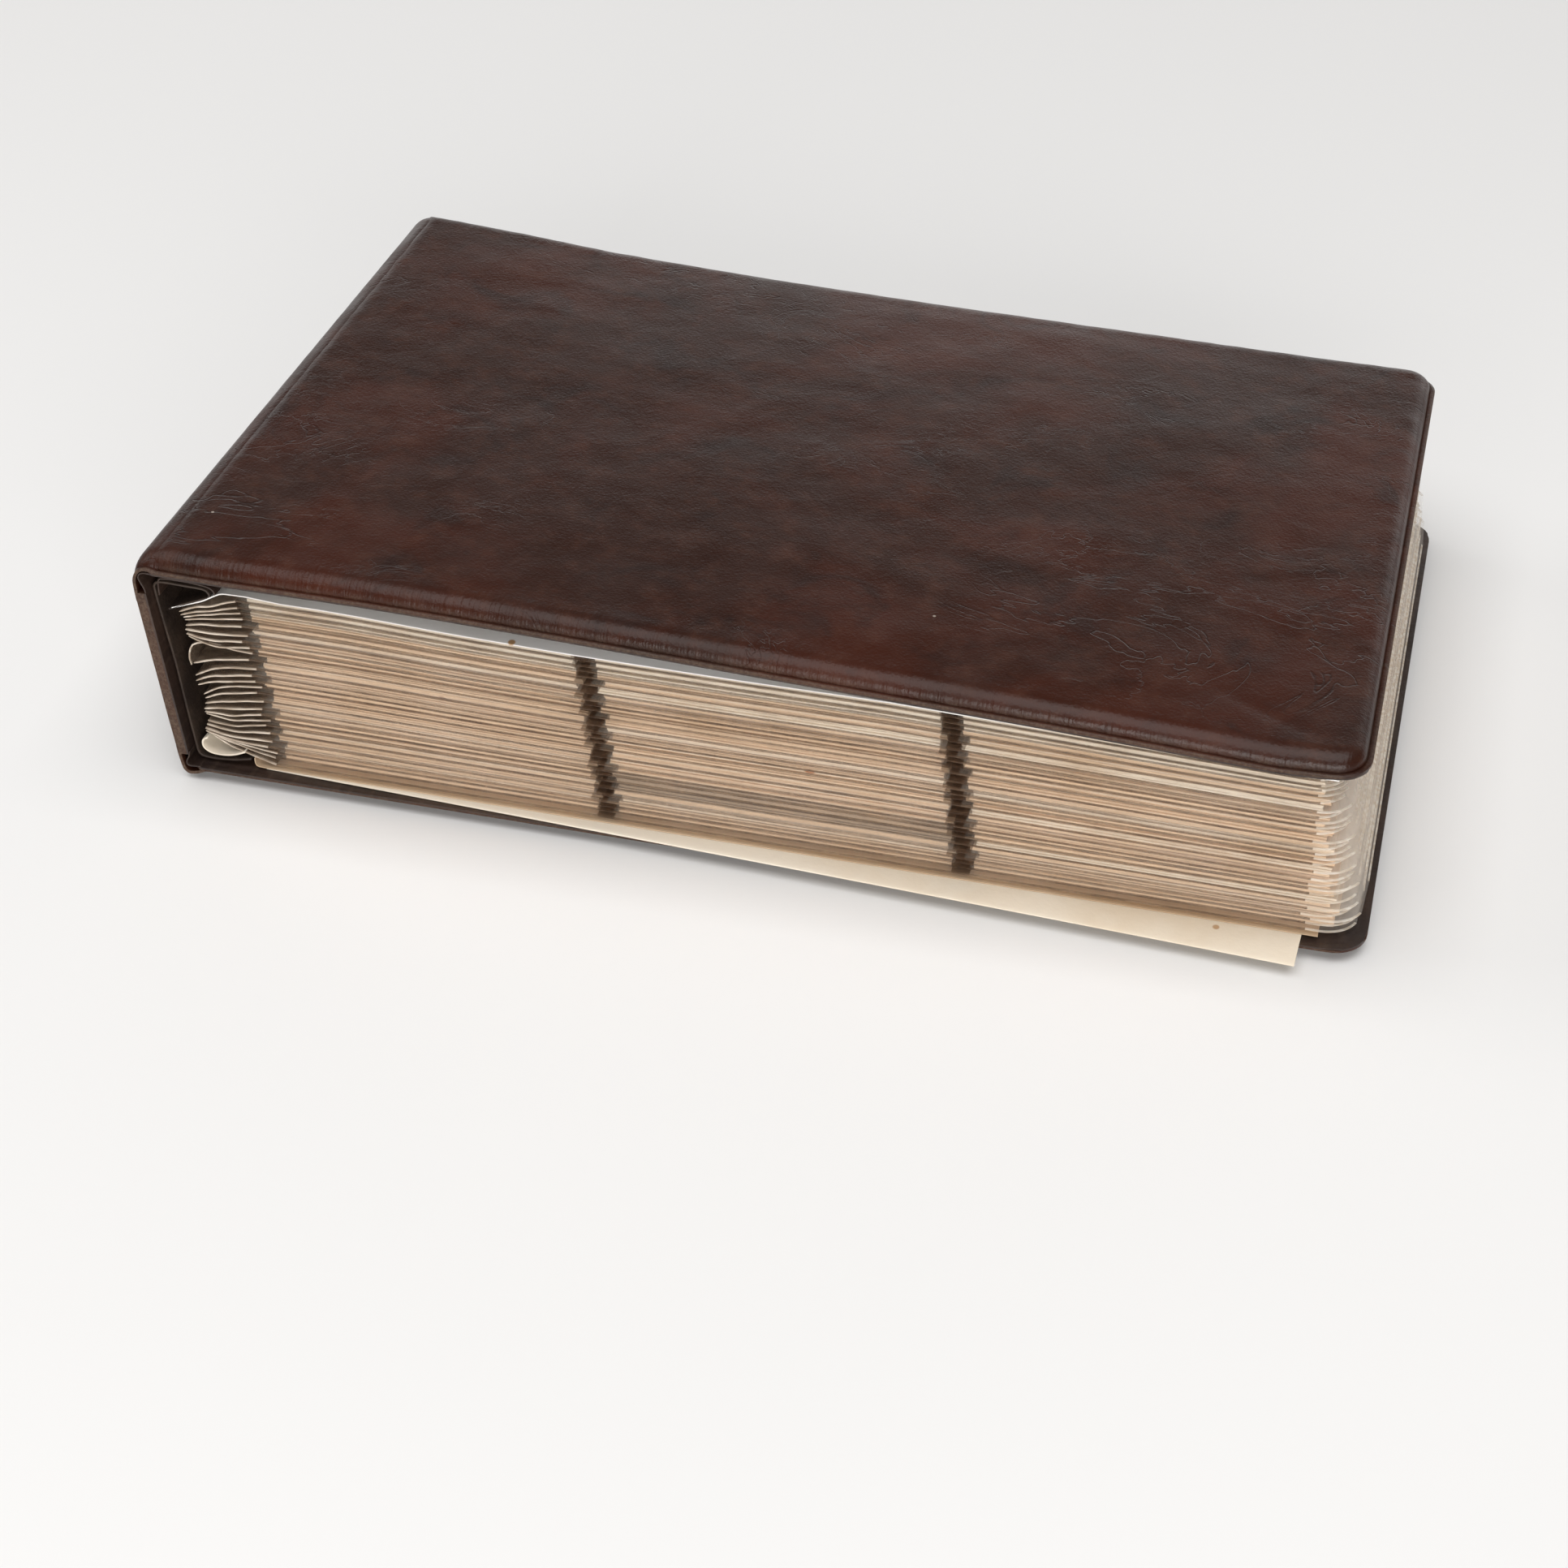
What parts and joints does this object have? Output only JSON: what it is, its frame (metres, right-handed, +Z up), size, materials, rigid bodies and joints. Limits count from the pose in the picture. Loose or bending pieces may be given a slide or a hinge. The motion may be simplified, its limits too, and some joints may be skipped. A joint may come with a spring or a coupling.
{
  "type": "coin album",
  "caption": "Padded vinyl coin album with a post-bound stack of clear pocket leaves; front cover, spine and top leaves turn.",
  "frame": {"origin": "centre of the back cover's flat underside, on the surface that the album lies on", "axes": "+X from the spine to the fore edge, +Y along the spine, +Z up through the closed album"},
  "size_m": [0.3217, 0.2136, 0.0704],
  "materials": {
    "case_vinyl": "embossed leather grain, satin",
    "lining_vinyl": "matt, fine grain",
    "foam": "open cell foam",
    "board": "grey-brown board",
    "post_metal": "plated, worn",
    "clear_film": "clear flexible film",
    "coin_silver": "struck, satin",
    "coin_gold": "struck, satin",
    "white_paper": "matt",
    "tan_board": "matt",
    "card_stock": "matt, yellowed",
    "filled_leaf": "card edges in clear film"
  },
  "bodies": {
    "back_cover": {"back_cover_board": "board", "back_cover_foam": "foam", "back_cover_lining": "lining_vinyl", "back_cover_skin": "case_vinyl", "loose_sheet": "card_stock", "backing_sheet": "tan_board"},
    "front_cover": {"front_cover_board": "board", "front_cover_foam": "foam", "front_cover_lining": "lining_vinyl", "front_cover_skin": "case_vinyl"},
    "title_page": {"title_sheet": "white_paper"},
    "leaf_01": {"leaf_01_sleeve": "clear_film", "leaf_01_cards": "card_stock", "leaf_01_coins": "coin_silver"},
    "leaf_02": {"leaf_02_sleeve": "clear_film", "leaf_02_cards": "card_stock", "leaf_02_coins": "coin_silver"},
    "leaf_03": {"leaf_03_sleeve": "clear_film", "leaf_03_cards": "card_stock", "leaf_03_coins": "coin_silver"},
    "leaf_04": {"leaf_04_sleeve": "clear_film", "leaf_04_cards": "card_stock", "leaf_04_coins": "coin_silver"},
    "middle_card": {"pulled_card": "card_stock", "pulled_card_coin": "coin_gold"},
    "spine": {"binding_guard": "lining_vinyl", "guard_weld": "lining_vinyl", "leaf_05": "filled_leaf", "leaf_06": "filled_leaf", "leaf_07": "filled_leaf", "leaf_08": "filled_leaf", "leaf_09": "filled_leaf", "leaf_10": "filled_leaf", "leaf_11": "filled_leaf", "leaf_12": "filled_leaf", "leaf_13": "filled_leaf", "leaf_14": "filled_leaf", "leaf_15": "filled_leaf", "leaf_16": "filled_leaf", "leaf_17": "filled_leaf", "leaf_18": "filled_leaf", "leaf_19": "filled_leaf", "leaf_20": "filled_leaf", "leaf_21": "filled_leaf", "leaf_22": "filled_leaf", "leaf_23": "filled_leaf", "leaf_24": "filled_leaf", "leaf_25": "filled_leaf", "leaf_26": "filled_leaf", "lower_hinge_roll": "case_vinyl", "post_barrels": "post_metal", "post_screws": "post_metal", "spacer_strip": "card_stock", "spine_board": "board", "spine_lining": "lining_vinyl", "spine_skin": "case_vinyl", "turning_margins": "clear_film", "upper_hinge_roll": "case_vinyl"}
  },
  "joints": [
    {"name": "spine_fold", "type": "hinge", "parent": "back_cover", "child": "spine", "pos_m": [-0.1586, 0, 0.004], "axis": [0, 1, 0], "range_deg": [-84, 0]},
    {"name": "front_cover_open", "type": "hinge", "parent": "spine", "child": "front_cover", "pos_m": [-0.16343, 0, 0.0627], "axis": [0, -1, 0], "range_deg": [0, 180]},
    {"name": "title_sheet_turn", "type": "hinge", "parent": "spine", "child": "title_page", "pos_m": [-0.1426, 0, 0.06045], "axis": [0, -1, 0], "range_deg": [0, 144.01]},
    {"name": "leaf_01_turn", "type": "hinge", "parent": "spine", "child": "leaf_01", "pos_m": [-0.1413, 0, 0.05895], "axis": [0, -1, 0], "range_deg": [0, 118.01]},
    {"name": "leaf_02_turn", "type": "hinge", "parent": "spine", "child": "leaf_02", "pos_m": [-0.1403, 0, 0.05685], "axis": [0, -1, 0], "range_deg": [0, 100.01]},
    {"name": "leaf_03_turn", "type": "hinge", "parent": "spine", "child": "leaf_03", "pos_m": [-0.1393, 0, 0.05476], "axis": [0, -1, 0], "range_deg": [0, 84.01]},
    {"name": "leaf_04_turn", "type": "hinge", "parent": "spine", "child": "leaf_04", "pos_m": [-0.1383, 0, 0.05266], "axis": [0, -1, 0], "range_deg": [0, 68.01]},
    {"name": "card_pull", "type": "slide", "parent": "leaf_01", "child": "middle_card", "axis": [0, 1, 0], "range_m": [0, 0.12]}
  ],
  "couplings": [
    {"joint": "title_sheet_turn", "follows": "front_cover_open", "ratio": 0.8},
    {"joint": "leaf_01_turn", "follows": "front_cover_open", "ratio": 0.65556},
    {"joint": "leaf_02_turn", "follows": "front_cover_open", "ratio": 0.55556},
    {"joint": "leaf_03_turn", "follows": "front_cover_open", "ratio": 0.46667},
    {"joint": "leaf_04_turn", "follows": "front_cover_open", "ratio": 0.37778}
  ]
}
